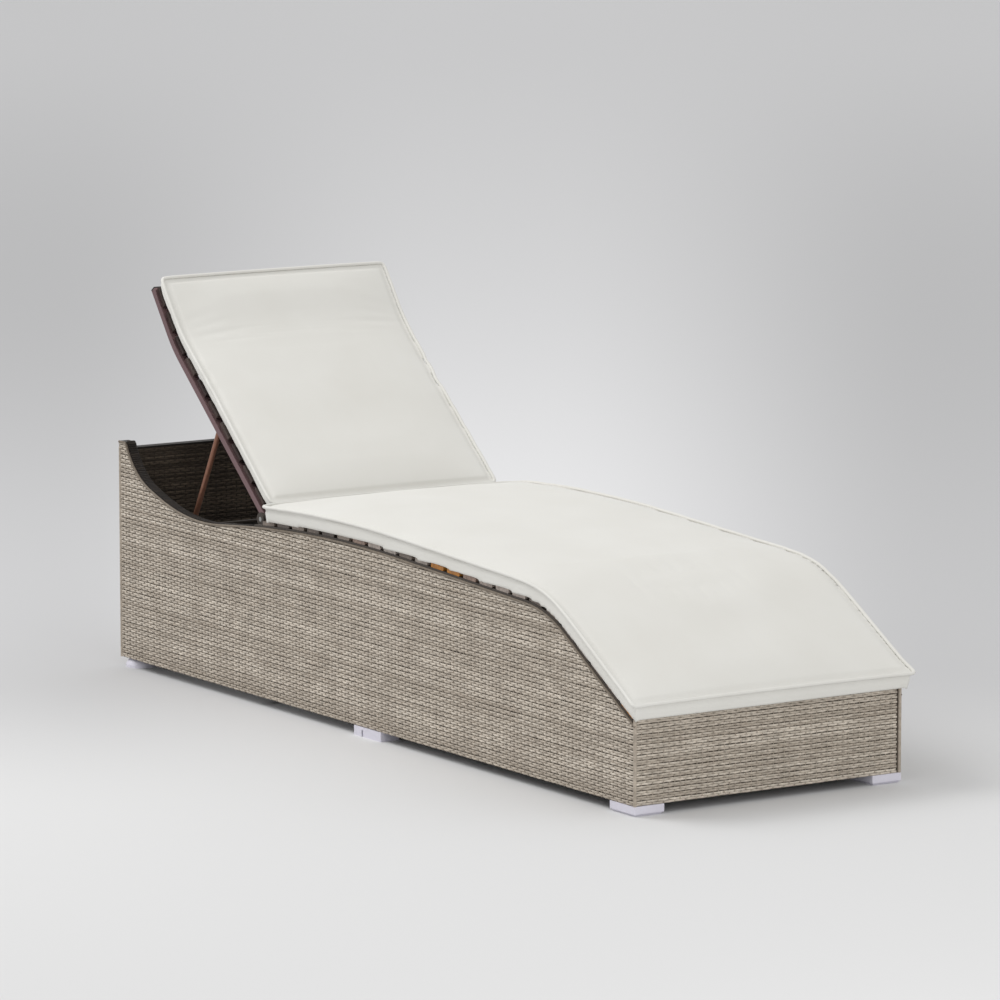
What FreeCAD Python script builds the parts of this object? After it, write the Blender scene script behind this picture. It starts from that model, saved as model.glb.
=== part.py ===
import FreeCAD, Part
import math
import os
import re
from FreeCAD import Placement, Rotation, Vector

# Sun lounger: a woven box base with a wave-shaped top edge, a slatted seat deck that follows the
# wave, a hinged slatted backrest held by a prop on notched racks, and two boxed cushions.
# Millimetres. +X points to the foot end, +Z up, -Y is the left side. The origin is on the floor
# below the middle of the overall length.

# Driving dimensions. "from_head" and "from_foot" are measured along X from the outer face of that end.
SIZES = {
    "base_length": 2000,
    "base_width": 640,
    "foot_overhang": 16,
    "foot_height": 20,
    "head_height": 498,
    "head_rim_length": 31,
    "head_wall_drop": 14,
    "sweep_from_head": 63,
    "sweep_height": 430,
    "sweep_radius": 165,
    "dip_from_head": 294,
    "dip_height": 353.5,
    "dip_radius": 620,
    "hump_from_head": 813,
    "hump_height": 408,
    "hump_reach": 354,
    "knee_from_foot": 309,
    "knee_height": 362,
    "knee_radius": 300,
    "foot_top_height": 178,
    "foot_panel_rise": 15,
    "weave_thickness": 5,
    "lining_thickness": 4,
    "tube_size": 16,
    "tube_wall": 1.5,
    "rim_thickness": 3,
    "middle_from_head": 1027,
    "knee_post_from_foot": 500,
    "seat_rail_thickness": 5,
    "seat_rail_width": 20,
    "seat_rail_inset": 2,
    "slat_width": 46,
    "slat_gap": 12,
    "slat_thickness": 9,
    "slat_inset": 3,
    "slat_round": 2.5,
    "first_slat_from_hinge": 48,
    "last_slat_from_foot": 13.5,
    "hinge_from_head": 560,
    "hinge_height": 394,
    "pivot_pin_diameter": 10,
    "pin_head_diameter": 16,
    "pin_head_thickness": 4,
    "running_clearance": 0.05,
    "side_clearance": 0.3,
    "cushion_clearance": 1.6,
    "bracket_thickness": 6,
    "bracket_width": 40,
    "bracket_drop": 70,
    "bracket_nose": 14,
    "washer_diameter": 20,
    "backrest_angle": 40.6,
    "backrest_side_gap": 11,
    "backrest_length": 646,
    "backrest_rail_height": 14,
    "backrest_rail_width": 18,
    "knuckle_length": 22,
    "knuckle_diameter": 20,
    "end_plug_thickness": 3,
    "end_plug_depth": 12,
    "end_plug_clearance": 0.2,
    "headrest_length": 146,
    "headrest_bend": 13,
    "headrest_radius": 320,
    "bottom_bar_from_hinge": 52,
    "middle_bar_past_pivot": 60,
    "first_back_slat_from_hinge": 30,
    "back_slat_inset": 6,
    "last_back_slat_from_top": 3,
    "prop_length": 290,
    "prop_rod_diameter": 12,
    "prop_pin_diameter": 7,
    "prop_pin_head_diameter": 12,
    "prop_eye_diameter": 13.4,
    "foot_eye_diameter": 18,
    "prop_eye_width": 13.4,
    "prop_lug_thickness": 5,
    "prop_lug_length": 44,
    "sleeve_diameter": 16,
    "sleeve_length": 16,
    "sleeve_end_gap": 8,
    "rack_slope": 10.7,
    "rack_width": 18,
    "rack_depth": 30,
    "rack_tip_clearance": 0.4,
    "rack_end_margin": 12,
    "notch_pitch": 40,
    "notch_radius": 10,
    "notch_depth": 5,
    "notches_each_way": 4,
    "corner_foot_length": 84,
    "corner_foot_width": 70,
    "corner_foot_chamfer": 5,
    "bell_foot_diameter": 66,
    "bell_neck_diameter": 40,
    "bell_lip": 5,
    "middle_foot_length": 104,
    "middle_foot_width": 44,
    "middle_foot_groove": 6,
    "seat_cushion_from_hinge": 45,
    "seat_cushion_overhang": 14,
    "seat_cushion_round": 50,
    "seat_cushion_turn": 20,
    "seat_cushion_boxing": 31,
    "seat_cushion_crown": 12,
    "back_cushion_from_hinge": 2,
    "back_cushion_overhang": 2,
    "back_cushion_boxing": 28,
    "back_cushion_crown": 11,
    "cushion_foot_inset": 5,
    "cushion_side_pull": 5,
    "cushion_end_draw": 3,
    "cushion_end_run": 40,
}

doc = FreeCAD.newDocument("sun_lounger")
sheet = doc.addObject("Spreadsheet::Sheet", "sizes")
for row, (alias, value) in enumerate(SIZES.items(), start=1):
    sheet.set(f"A{row}", alias)
    sheet.set(f"B{row}", str(value))
    sheet.setAlias(f"B{row}", alias)
doc.recompute()

nodes = []


def size(alias):
    return float(sheet.get(alias))


def cells(expression):
    """The expression with every size name turned into its cell of the sheet."""
    return re.sub(r"[a-z]+(_[a-z]+)+", lambda found: "sizes." + found.group(0), expression)


def bind(thing, **expressions):
    for name, expression in expressions.items():
        thing.setExpression(name.replace("__", "."), cells(expression))
    return thing


def node(thing, label):
    """Name a finished sub-part; its label names its file."""
    thing.Label = label
    nodes.append(thing)
    return thing


def group(things, label):
    """Like pieces that share one node, as separate solids."""
    made = doc.addObject("Part::Compound", "group")
    made.Links = things
    return node(made, label)


def block(x, y, z, length, width, height):
    """A box whose place and sizes are expressions of the sheet's sizes."""
    made = doc.addObject("Part::Box", "block")
    bind(made, Length=length, Width=width, Height=height)
    return bind(made, Placement__Base__x=x, Placement__Base__y=y, Placement__Base__z=z)


def cut(base, tool):
    made = doc.addObject("Part::Cut", "cut")
    made.Base = base
    made.Tool = tool
    return made


def common(base, tool):
    made = doc.addObject("Part::Common", "common")
    made.Base = base
    made.Tool = tool
    return made


def square_tube(along, x, y, z, length, width, height):
    """A hollow square tube with open ends, running along X, Y or Z."""
    inner = {"x": x, "y": y, "z": z, "length": length, "width": width, "height": height}
    for axis, span in (("x", "length"), ("y", "width"), ("z", "height")):
        if axis != along:
            inner[axis] = f"({inner[axis]}) + tube_wall"
            inner[span] = f"({inner[span]}) - 2 * tube_wall"
    return cut(block(x, y, z, length, width, height), block(**inner))


def at_side(sign, outer, depth):
    """Y of the lower face of a piece whose outer face is at that distance from the middle."""
    return f"-({outer})" if sign < 0 else f"({outer}) - ({depth})"


def at_side_number(sign, outer, depth):
    """The same as a number, for pieces drawn from numbers."""
    return -outer if sign < 0 else outer - depth


SIDES = (("left", -1), ("right", 1))
HEAD_X = "-(base_length + foot_overhang) / 2"
FOOT_X = "(base_length - foot_overhang) / 2"
BEHIND_FOOT = f"{FOOT_X} - weave_thickness"
WALL = "weave_thickness + tube_size + lining_thickness"
BEHIND_SKIN = "tube_size + lining_thickness"
INNER_Y = f"base_width / 2 - ({WALL})"
head_x = -(size("base_length") + size("foot_overhang")) / 2
foot_x = head_x + size("base_length")
half_width = size("base_width") / 2
wall = size("weave_thickness") + size("tube_size") + size("lining_thickness")
inner_y = half_width - wall


class Path:
    """Straight runs joined by tangent arcs in a plane, with its parallels at any distance."""

    def __init__(self, points, radii):
        self.runs = []
        here = Vector(*points[0], 0)
        for before, corner, after, radius in zip(points, points[1:], points[2:], radii):
            corner = Vector(*corner, 0)
            back = (Vector(*before, 0) - corner).normalize()
            ahead = (Vector(*after, 0) - corner).normalize()
            half = back.getAngle(ahead) / 2
            reach = radius / math.tan(half)
            start = corner + back * reach
            end = corner + ahead * reach
            self.runs.append(("line", here, start))
            turn = math.copysign(1, back.cross(ahead).z) * -1
            centre = start + Vector(back.y, -back.x, 0) * (turn * radius)
            self.runs.append(("arc", start, end, centre, turn, math.pi - 2 * half))
            here = end
        self.runs.append(("line", here, Vector(*points[-1], 0)))

    @staticmethod
    def left_of(direction):
        return Vector(-direction.y, direction.x, 0)

    def length(self):
        return sum(self.run_length(run) for run in self.runs)

    @staticmethod
    def run_length(run):
        if run[0] == "line":
            return (run[2] - run[1]).Length
        return (run[1] - run[3]).Length * run[5]

    def at(self, distance, offset=0.0):
        """The point at a distance along the path, on its parallel, and the direction there."""
        for run in self.runs:
            span = self.run_length(run)
            if distance <= span or run is self.runs[-1]:
                break
            distance -= span
        if run[0] == "line":
            direction = (run[2] - run[1]).normalize()
            point = run[1] + direction * distance
        else:
            angle = run[4] * distance / (run[1] - run[3]).Length
            spoke = Rotation(Vector(0, 0, 1), math.degrees(angle)).multVec(run[1] - run[3])
            point = run[3] + spoke
            direction = self.left_of(spoke).normalize() * run[4]
        return point + self.left_of(direction) * offset, direction

    def parallel(self, offset):
        """The edges of the parallel curve at that offset to the left."""
        edges = []
        for run in self.runs:
            span = self.run_length(run)
            first = self.at_run(run, 0.0, offset)
            last = self.at_run(run, span, offset)
            if run[0] == "line":
                edges.append(Part.LineSegment(first, last))
            else:
                edges.append(Part.Arc(first, self.at_run(run, span / 2, offset), last))
        return edges

    def at_run(self, run, distance, offset):
        alone = Path.__new__(Path)
        alone.runs = [run]
        return alone.at(distance, offset)[0]

    def distance_at_x(self, x):
        """How far along the path its given X lies; X only grows along it."""
        low, high = 0.0, self.length()
        for _ in range(60):
            middle = (low + high) / 2
            low, high = (middle, high) if self.at(middle)[0].x < x else (low, middle)
        return low


def wave_corner(name):
    return head_x + size(f"{name}_from_head"), size(f"{name}_height")


def radius_for_reach(before, corner, after, reach):
    """Radius of the arc that starts and ends that far from a corner."""
    corner = Vector(*corner, 0)
    return reach * math.tan((Vector(*before, 0) - corner).getAngle(Vector(*after, 0) - corner) / 2)


def beyond(inner, outer, distance):
    """A point that far past the outer of two points, on their line."""
    step = Vector(outer[0] - inner[0], outer[1] - inner[1], 0).normalize() * distance
    return outer[0] + step.x, outer[1] + step.y


RUN_OUT = 40.0
rim_end = (head_x + size("head_rim_length"), size("head_height"))
foot_end = (foot_x, size("foot_top_height"))
sweep, dip, hump = (wave_corner(name) for name in ("sweep", "dip", "hump"))
knee = (foot_x - size("knee_from_foot"), size("knee_height"))
wave = Path(
    [beyond(sweep, rim_end, RUN_OUT), sweep, dip, hump, knee, beyond(knee, foot_end, RUN_OUT)],
    [
        size("sweep_radius"),
        size("dip_radius"),
        radius_for_reach(dip, hump, knee, size("hump_reach")),
        size("knee_radius"),
    ],
)
foot_tilt = math.atan2(knee[1] - foot_end[1], foot_x - knee[0])


def wave_height(x, offset=0.0):
    """Height of the wave's parallel above the floor, near the given X."""
    point, direction = wave.at(wave.distance_at_x(x), offset)
    return point.y + (x - point.x) * direction.y / direction.x


def closed(edges):
    """The edges with straight links from each one to the next and back to the start."""
    ring = []
    for edge, after in zip(edges, edges[1:] + edges[:1]):
        ring.append(edge)
        if (edge.EndPoint - after.StartPoint).Length > 1e-6:
            ring.append(Part.LineSegment(edge.EndPoint, after.StartPoint))
    return ring


def lines(*points):
    corners = [Vector(x, z, 0) for x, z in points]
    return [Part.LineSegment(a, b) for a, b in zip(corners, corners[1:])]


def turned_back(edges):
    """The same edges, followed from the last end to the first start."""
    back = []
    for edge in reversed(edges):
        if isinstance(edge, Part.LineSegment):
            back.append(Part.LineSegment(edge.EndPoint, edge.StartPoint))
        else:
            middle = edge.value((edge.FirstParameter + edge.LastParameter) / 2)
            back.append(Part.Arc(edge.EndPoint, middle, edge.StartPoint))
    return back


def sketched(body, edges, role="XZ_Plane"):
    sketch = body.newObject("Sketcher::SketchObject", "outline")
    plane = [item for item in body.Origin.OriginFeatures if item.Role == role][0]
    sketch.AttachmentSupport = [(plane, "")]
    sketch.MapMode = "FlatFace"
    for edge in edges:
        sketch.addGeometry(edge, False)
    return sketch


def plate(edges, depth):
    """A plate with an outline in X and Z, from Y 0 to minus its depth."""
    body = doc.addObject("PartDesign::Body", "plate")
    pad = body.newObject("PartDesign::Pad", "pad")
    pad.Profile = sketched(body, edges)
    bind(pad, Length=depth)
    return body


def upright_plate(edges, outer, depth, sign):
    """A plate whose outer face stands at that distance to the left or right of the middle."""
    return bind(plate(edges, depth), Placement__Base__y=f"({at_side(sign, outer, depth)}) + ({depth})")


def wave_plate(top_offset, outer, depth, sign):
    """A plate under the wave's parallel, reaching past both ends and below the floor."""
    upper = wave.parallel(top_offset)
    start = upper[0].StartPoint
    end = upper[-1].EndPoint
    low = -RUN_OUT
    edges = closed(
        upper
        + lines((end.x, end.y), (end.x, low), (head_x - RUN_OUT, low))
        + lines((head_x - RUN_OUT, low), (head_x - RUN_OUT, start.y))
    )
    return upright_plate(edges, outer, depth, sign)


def wave_band(low_offset, high_offset, outer, depth, sign):
    """A strip between two parallels of the wave, reaching past the foot end."""
    upper = wave.parallel(high_offset)
    lower = wave.parallel(low_offset)
    return upright_plate(closed(upper + turned_back(lower)), outer, depth, sign)


def between(x_from, x_to, z_from, z_to="head_height"):
    """Everything between two X and two heights."""
    return block(
        x_from, "-base_width", z_from, f"({x_to}) - ({x_from})", "2 * base_width", f"({z_to}) - ({z_from})"
    )


UNDER_RIM = "head_height - rim_thickness"
HEAD_WALL = "head_height - head_wall_drop"


# Woven skins, lining and rims of the box base
def side_walls(cross_bars):
    """Skins, linings and rims of the long sides; the cross bars pass through the rims."""
    rim = size("rim_thickness")
    for side, sign in SIDES:
        skin = wave_plate(-rim, "base_width / 2", "weave_thickness", sign)
        node(common(skin, between(HEAD_X, FOOT_X, "foot_height", UNDER_RIM)), f"side_panel_{side}")
        lining = wave_plate(-rim, "base_width / 2 - weave_thickness - tube_size", "lining_thickness", sign)
        well = between(
            f"{HEAD_X} + weave_thickness + tube_size",
            f"{HEAD_X} + hinge_from_head + bracket_width",
            "foot_height + tube_size",
            UNDER_RIM,
        )
        node(common(lining, well), f"well_lining_{side}")
        cover = wave_band(-rim, 0.0, "base_width / 2", WALL, sign)
        level = block(
            HEAD_X, at_side(sign, "base_width / 2", WALL), "head_height - rim_thickness",
            "head_rim_length", WALL, "rim_thickness",
        )
        strip = doc.addObject("Part::MultiFuse", "rim")
        strip.Shapes = [common(cover, between(HEAD_X, BEHIND_FOOT, "foot_height")), level]
        node(cut(strip, cross_bars), f"side_rim_{side}")


def end_walls():
    skin_y = "-(base_width / 2 - weave_thickness)"
    skin_width = "base_width - 2 * weave_thickness"
    inner_width = f"base_width - 2 * ({WALL})"
    ends = (
        ("head", HEAD_X, HEAD_WALL, "0 * foot_panel_rise", HEAD_X, WALL),
        ("foot", BEHIND_FOOT, "foot_top_height", "foot_panel_rise", f"{FOOT_X} - ({WALL})", BEHIND_SKIN),
    )
    for end, x, height, rise, rim_x, rim_length in ends:
        tall = f"{height} - rim_thickness + {rise} - foot_height"
        node(block(x, skin_y, "foot_height", "weave_thickness", skin_width, tall), f"{end}_panel")
        node(
            block(
                rim_x, f"-({INNER_Y})", f"{height} - rim_thickness",
                rim_length, inner_width, "rim_thickness",
            ),
            f"{end}_rim",
        )
    node(
        block(
            f"{HEAD_X} + weave_thickness + tube_size", f"-({INNER_Y})", "foot_height",
            "lining_thickness", inner_width, f"{HEAD_WALL} - rim_thickness - foot_height",
        ),
        "well_lining_head",
    )


# Tube frame inside the walls
TUBE_OUTER = "base_width / 2 - weave_thickness"
POST_HEAD_X = f"{HEAD_X} + weave_thickness"
POST_FOOT_X = f"{BEHIND_FOOT} - tube_size"
RAIL_FROM = f"{POST_HEAD_X} + tube_size"
RAIL_SPAN = f"({POST_FOOT_X}) - ({RAIL_FROM})"
CROSS_Y = f"-({TUBE_OUTER} - tube_size)"
CROSS_SPAN = f"2 * ({TUBE_OUTER} - tube_size)"


def long_frame_tubes():
    rim = size("rim_thickness")
    tube = size("tube_size")
    tube_wall = size("tube_wall")
    for side, sign in SIDES:
        y = at_side(sign, TUBE_OUTER, "tube_size")
        node(
            square_tube("x", RAIL_FROM, y, "foot_height", RAIL_SPAN, "tube_size", "tube_size"),
            f"bottom_rail_{side}",
        )
        outer = wave_band(-rim - tube, -rim, TUBE_OUTER, "tube_size", sign)
        bore = wave_band(
            -rim - tube + tube_wall, -rim - tube_wall,
            f"{TUBE_OUTER} - tube_wall", "tube_size - 2 * tube_wall", sign,
        )
        span = between(RAIL_FROM, POST_FOOT_X, "foot_height + tube_size", UNDER_RIM)
        node(cut(common(outer, span), bore), f"top_rail_{side}")


def posts():
    for end, x, height in (("head", POST_HEAD_X, "head_height"), ("foot", POST_FOOT_X, "foot_top_height")):
        tall = f"{height} - rim_thickness - foot_height"
        group([upright(sign, x, "foot_height", tall) for _, sign in SIDES], f"{end}_posts")
    inner_posts = (
        ("hinge", hinge_x, HINGE_X),
        ("knee", foot_x - size("knee_post_from_foot"), f"{FOOT_X} - knee_post_from_foot"),
    )
    for name, middle, place in inner_posts:
        half = size("tube_size") / 2
        under = -size("rim_thickness") - size("tube_size")
        top = min(wave_height(middle - half, under), wave_height(middle + half, under))
        tall = f"{top} - side_clearance - foot_height - tube_size"
        x = f"{place} - tube_size / 2"
        group([upright(sign, x, "foot_height + tube_size", tall) for _, sign in SIDES], f"{name}_posts")


def upright(sign, x, z, tall):
    y = at_side(sign, TUBE_OUTER, "tube_size")
    return square_tube("z", x, y, z, "tube_size", "tube_size", tall)


def cross_tubes():
    for end, x, height in (("head", POST_HEAD_X, HEAD_WALL), ("foot", POST_FOOT_X, "foot_top_height")):
        node(
            square_tube("y", x, CROSS_Y, "foot_height", "tube_size", CROSS_SPAN, "tube_size"),
            f"{end}_bottom_rail",
        )
        node(
            square_tube(
                "y", x, CROSS_Y, f"{height} - rim_thickness - tube_size",
                "tube_size", CROSS_SPAN, "tube_size",
            ),
            f"{end}_top_rail",
        )
    for name, place in (("hinge", "hinge_from_head"), ("middle", "middle_from_head")):
        node(
            square_tube(
                "y", f"{HEAD_X} + {place} - tube_size / 2", CROSS_Y, "foot_height",
                "tube_size", CROSS_SPAN, "tube_size",
            ),
            f"{name}_cross_rail",
        )


# Feet
FLOOR = "foot_height * 0"
BELLY_OUT = 0.72
BELLY_UP = 0.55
GROOVE_ALONG = 0.28
GROOVE_RISE = 0.7


def corner_feet():
    for side, sign in SIDES:
        foot = block(
            f"{FOOT_X} - corner_foot_length", at_side(sign, "base_width / 2", "corner_foot_width"), FLOOR,
            "corner_foot_length", "corner_foot_width", "foot_height",
        )
        doc.recompute()
        soft = doc.addObject("Part::Chamfer", "foot")
        soft.Base = foot
        chamfer = size("corner_foot_chamfer")
        low = [
            index
            for index, edge in enumerate(foot.Shape.Edges, start=1)
            if edge.BoundBox.ZMax < size("foot_height") / 2
        ]
        soft.Edges = [(index, chamfer, chamfer) for index in low]
        node(soft, f"front_foot_{side}")


def bell_feet():
    tall = size("foot_height")
    foot_radius = size("bell_foot_diameter") / 2
    neck = size("bell_neck_diameter") / 2
    lip = size("bell_lip")
    for side, sign in SIDES:
        body = doc.addObject("PartDesign::Body", "bell")
        flare = Part.Arc(
            Vector(foot_radius, lip, 0),
            Vector(neck + (foot_radius - neck) * BELLY_OUT, lip + (tall - lip) * BELLY_UP, 0),
            Vector(neck, tall, 0),
        )
        edges = lines((0, tall), (0, 0), (foot_radius, 0), (foot_radius, lip)) + [flare]
        turned = body.newObject("PartDesign::Revolution", "turned")
        sketch = sketched(body, closed(edges))
        turned.Profile = sketch
        turned.ReferenceAxis = (sketch, ["V_Axis"])
        turned.Angle = 360
        across = "base_width / 2 - bell_foot_diameter / 2"
        bind(
            body,
            Placement__Base__x=f"{HEAD_X} + bell_foot_diameter / 2",
            Placement__Base__y=f"-({across})" if sign < 0 else across,
        )
        node(body, f"rear_foot_{side}")


def middle_feet():
    for side, sign in SIDES:
        x = f"{HEAD_X} + middle_from_head - middle_foot_length / 2"
        y = at_side(sign, "base_width / 2", "middle_foot_width")
        pad = block(x, y, FLOOR, "middle_foot_length", "middle_foot_width", "foot_height")
        groove = block(
            f"{x} + middle_foot_length * {GROOVE_ALONG}", f"{y} - middle_foot_groove", FLOOR,
            "middle_foot_groove", "middle_foot_width + 2 * middle_foot_groove",
            f"foot_height * {GROOVE_RISE}",
        )
        node(cut(pad, groove), f"middle_foot_{side}")


# Slats
def rounded_slat(length):
    """One plank, centred across, lying on its lower face, with eased long edges."""
    width = size("slat_width")
    plank = Part.makeBox(width, length, size("slat_thickness"), Vector(-width / 2, -length / 2, 0))
    long_edges = [edge for edge in plank.Edges if edge.BoundBox.YLength > length / 2]
    return plank.makeFillet(size("slat_round"), long_edges)


def in_plane(point, direction, placement):
    """Placement of a piece on a path in X and Z, turned to the path's direction there."""
    turn = Rotation(Vector(0, 1, 0), -math.degrees(math.atan2(direction.y, direction.x)))
    return placement.multiply(Placement(Vector(point.x, 0, point.y), turn))


def slat_row(path, offset, start, end, length, placement, label):
    """Planks spread evenly from start to end, with gaps no narrower than the size asks."""
    room = end - start - size("slat_width")
    spaces = int(room // (size("slat_width") + size("slat_gap")))
    plank = rounded_slat(length)
    planks = []
    half = size("slat_width") / 2
    for number in range(spaces + 1):
        middle = start + half + number * room / spaces
        point, direction = path.at(middle, offset)
        up = path.left_of(direction)
        edges = [path.at(middle + reach, offset)[0] for reach in (-half, half)]
        point += up * max(0.0, *((edge - point).dot(up) for edge in edges))
        planks.append(plank.transformed(in_plane(point, direction, placement).toMatrix()))
    row = doc.addObject("Part::Feature", "slats")
    row.Shape = Part.makeCompound(planks)
    node(row, label)


STILL = Placement()
hinge_x = head_x + size("hinge_from_head")
deck_offset = size("seat_rail_thickness")


def seat_deck():
    rail_from = f"{HEAD_X} + hinge_from_head + bracket_nose"
    for side, sign in SIDES:
        rail = wave_band(0.0, deck_offset, "base_width / 2 - seat_rail_inset", "seat_rail_width", sign)
        node(common(rail, between(rail_from, BEHIND_FOOT, "foot_height")), f"seat_rail_{side}")
    spine = wave_band(0.0, deck_offset, "seat_rail_width / 2", "seat_rail_width", 1)
    node(common(spine, between(rail_from, BEHIND_FOOT, "foot_height")), "seat_middle_rail")
    first = wave.distance_at_x(hinge_x + size("first_slat_from_hinge"))
    last = wave.distance_at_x(foot_x - size("last_slat_from_foot"))
    length = size("base_width") - 2 * size("slat_inset")
    slat_row(wave, deck_offset, first, last, length, STILL, "seat_slats")


def seat_cross_bars():
    """Three tubes that carry the middle rail from one top rail to the other."""
    tube = size("tube_size")
    across = 2 * (half_width - size("weave_thickness") - tube)
    inside = tube - 2 * size("tube_wall")
    bars = []
    first = wave.distance_at_x(hinge_x + size("first_slat_from_hinge") + tube)
    last = wave.distance_at_x(foot_x - wall - tube)
    for share in (0.0, 0.5, 1.0):
        point, direction = wave.at(first + (last - first) * share, -tube)
        bar = Part.makeBox(tube, across, tube, Vector(-tube / 2, -across / 2, 0))
        bore = Part.makeBox(
            inside, across, inside, Vector(-inside / 2, -across / 2, size("tube_wall"))
        )
        bars.append(bar.cut(bore).transformed(in_plane(point, direction, STILL).toMatrix()))
    row = doc.addObject("Part::Feature", "bars")
    row.Shape = Part.makeCompound(bars)
    return node(row, "seat_cross_bars")


# Hinge of the backrest
BACK_OUTER = f"{INNER_Y} - backrest_side_gap"
back_outer = inner_y - size("backrest_side_gap")


def turned_pin(shaft_diameter, head_diameter, head_thickness, length):
    """A headed pin along +Y: the shaft starts at 0, the head follows it."""
    shaft = doc.addObject("Part::Cylinder", "shaft")
    bind(shaft, Radius=f"({shaft_diameter}) / 2", Height=length)
    cap = doc.addObject("Part::Cylinder", "cap")
    bind(cap, Radius=f"({head_diameter}) / 2", Height=head_thickness, Placement__Base__z=length)
    pin = doc.addObject("Part::Fuse", "pin")
    pin.Base = shaft
    pin.Tool = cap
    return pin


def point_along_y(thing, sign, x, outer, z):
    """Turn a piece made along +Z so that it points from its outer end to the middle."""
    thing.Placement = Placement(Vector(), Rotation(Vector(1, 0, 0), 90 * sign))
    y = f"-({outer})" if sign < 0 else outer
    return bind(thing, Placement__Base__x=x, Placement__Base__y=y, Placement__Base__z=z)


def ring(outer_diameter, bore_diameter, thickness):
    disc = doc.addObject("Part::Cylinder", "disc")
    bind(disc, Radius=f"({outer_diameter}) / 2", Height=thickness)
    bore = doc.addObject("Part::Cylinder", "bore")
    bind(bore, Radius=f"({bore_diameter}) / 2", Height=thickness)
    return cut(disc, bore)


HINGE_X = f"{HEAD_X} + hinge_from_head"
PIN_BORE = "pivot_pin_diameter + 2 * running_clearance"


def tombstone(width, drop, nose, bore):
    """Outline of an upright lug: round nose about the pin, straight foot below, and its bore."""
    half = width / 2
    flank = math.acos(nose / math.hypot(half, drop)) - math.atan2(half, drop)
    touch = Vector(nose * math.cos(flank), -nose * math.sin(flank), 0)
    mirror = Vector(-touch.x, touch.y, 0)
    outline = [
        Part.Arc(touch, Vector(0, nose, 0), mirror),
        Part.LineSegment(mirror, Vector(-half, -drop, 0)),
        Part.LineSegment(Vector(-half, -drop, 0), Vector(half, -drop, 0)),
        Part.LineSegment(Vector(half, -drop, 0), touch),
    ]
    return outline + [Part.Circle(Vector(), Vector(0, 0, 1), bore / 2)]


def hinge_parts():
    bore = size("pivot_pin_diameter") + 2 * size("running_clearance")
    reach = "backrest_side_gap + backrest_rail_width + side_clearance"
    washer_thickness = "backrest_side_gap - bracket_thickness - side_clearance"
    pins = []
    washers = []
    for side, sign in SIDES:
        lug = tombstone(size("bracket_width"), size("bracket_drop"), size("bracket_nose"), bore)
        bracket = upright_plate(lug, INNER_Y, "bracket_thickness", sign)
        bind(bracket, Placement__Base__x=HINGE_X, Placement__Base__z="hinge_height")
        node(bracket, f"hinge_bracket_{side}")
        pin = turned_pin("pivot_pin_diameter", "pin_head_diameter", "pin_head_thickness", reach)
        pins.append(point_along_y(pin, sign, HINGE_X, INNER_Y, "hinge_height"))
        washer = ring("washer_diameter", PIN_BORE, washer_thickness)
        seat = f"{INNER_Y} - bracket_thickness"
        washers.append(point_along_y(washer, sign, HINGE_X, seat, "hinge_height"))
    group(pins, "hinge_pins")
    group(washers, "hinge_washers")


# Backrest, drawn along its rail from the hinge and then tilted to its rest angle
TILTED = Placement(
    Vector(hinge_x, 0, size("hinge_height")),
    Rotation(Vector(0, 1, 0), size("backrest_angle")).multiply(Rotation(Vector(0, 0, 1), 180)),
)
bend = math.radians(size("headrest_bend"))
headrest = size("headrest_length")
bend_at = size("backrest_length") - headrest
backrest_path = Path(
    [(0.0, 0.0), (bend_at, 0.0), (bend_at + headrest * math.cos(bend), headrest * math.sin(bend))],
    [size("headrest_radius")],
)


def tilted_plate(edges, outer, depth, sign, placement):
    """A plate drawn in a tilted frame, in which left and right change places."""
    made = plate(edges, depth)
    face = outer if sign < 0 else size(depth) - outer
    made.Placement = placement.multiply(Placement(Vector(0, face, 0), Rotation()))
    return made


def path_strip(path, low, high, start):
    """A strip between two parallels of a path, from a distance along its first run."""
    upper = path.parallel(high)
    lower = path.parallel(low)
    upper[0] = Part.LineSegment(Vector(start, high, 0), upper[0].EndPoint)
    lower[0] = Part.LineSegment(Vector(start, low, 0), lower[0].EndPoint)
    return closed(upper + turned_back(lower))


def backrest_rails():
    """Bent tubes, each ending at the hinge in a solid knuckle with the pin's bore."""
    half = size("backrest_rail_height") / 2
    inside = half - size("tube_wall")
    start = size("knuckle_length")
    eye = size("knuckle_diameter") / 2
    nose = [
        Part.Arc(Vector(0, eye, 0), Vector(-eye, 0, 0), Vector(0, -eye, 0)),
        *lines((0, -eye), (start, -half), (start, half), (0, eye)),
        Part.Circle(Vector(), Vector(0, 0, 1), size("pivot_pin_diameter") / 2 + size("running_clearance")),
    ]
    knuckles = []
    for side, sign in SIDES:
        tube = tilted_plate(
            path_strip(backrest_path, -half, half, start), back_outer, "backrest_rail_width", sign, TILTED
        )
        bore = plate(
            path_strip(backrest_path, -inside, inside, start), "backrest_rail_width - 2 * tube_wall"
        )
        face = back_outer if sign < 0 else size("backrest_rail_width") - back_outer
        bore.Placement = TILTED.multiply(Placement(Vector(0, face - size("tube_wall"), 0), Rotation()))
        node(cut(tube, bore), f"backrest_rail_{side}")
        knuckles.append(tilted_plate(nose, back_outer, "backrest_rail_width", sign, TILTED))
    group(knuckles, "hinge_knuckles")


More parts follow.
